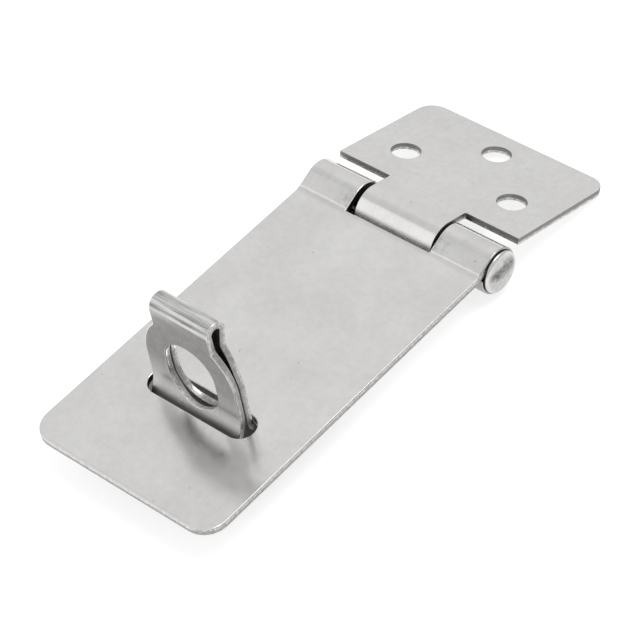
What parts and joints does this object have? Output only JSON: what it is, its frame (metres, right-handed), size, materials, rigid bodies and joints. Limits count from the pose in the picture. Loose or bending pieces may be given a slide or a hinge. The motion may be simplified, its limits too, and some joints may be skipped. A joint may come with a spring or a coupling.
{
  "type": "hasp and staple",
  "caption": "Hinged safety hasp in stainless sheet: a long slotted plate drops over a folded staple with a padlock eye, and a fixing leaf turns on the hinge pin.",
  "frame": {"origin": "centre of the staple's four screw holes, on the mounting surface", "axes": "+Z out of the mounting surface, +X along the hinge pin towards its head, +Y along the hasp from the slotted end to the fixing leaf"},
  "size_m": [0.0413, 0.1019, 0.0289],
  "materials": {
    "brushed_sheet": "satin stainless sheet, brushed along the hasp",
    "pin_steel": "bright turned stainless"
  },
  "bodies": {
    "staple": {"staple": "brushed_sheet"},
    "hasp": {"hasp_plate": "brushed_sheet", "hinge_pin": "pin_steel"},
    "leaf": {"fixed_leaf": "brushed_sheet"}
  },
  "joints": [
    {"name": "hasp_lift", "type": "slide", "parent": "staple", "child": "hasp", "axis": [0, 0.0349, 0.9994], "range_m": [0, 0.026]},
    {"name": "leaf_hinge", "type": "hinge", "parent": "hasp", "child": "leaf", "pos_m": [0, 0.0512, 0.0053], "axis": [1, 0, 0], "range_deg": [-164, 111]}
  ]
}
